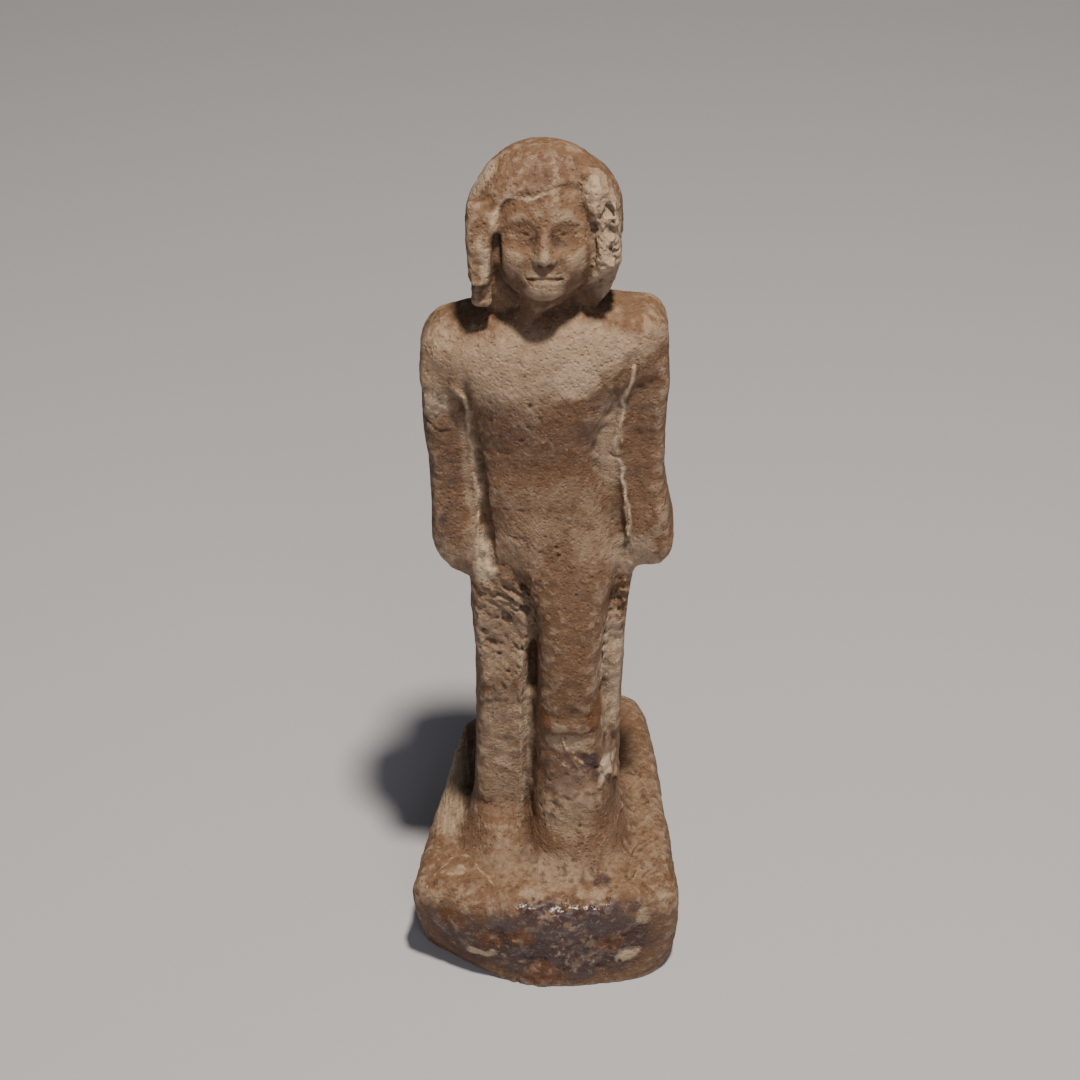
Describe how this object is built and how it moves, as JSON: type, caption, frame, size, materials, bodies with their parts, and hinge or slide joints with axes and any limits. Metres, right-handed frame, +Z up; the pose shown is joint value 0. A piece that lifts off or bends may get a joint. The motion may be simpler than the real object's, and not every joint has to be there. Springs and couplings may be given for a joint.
{
  "type": "stone figure statue",
  "caption": "Worn limestone figure of a standing man in a wig and kilt, arms at the sides, carved in one piece with its thick round-cornered plinth.",
  "frame": {"origin": "middle of the plinth's underside, on the surface that the statue stands on", "axes": "+Z up through the figure, -Y the way the figure faces, +X to the side of its own left arm"},
  "size_m": [0.078, 0.1002, 0.2477],
  "materials": {
    "limestone": "worn limestone, pale tan where rubbed and brown where stained, mostly matt"
  },
  "bodies": {
    "root": {"limestone_statue": "limestone"}
  },
  "joints": []
}
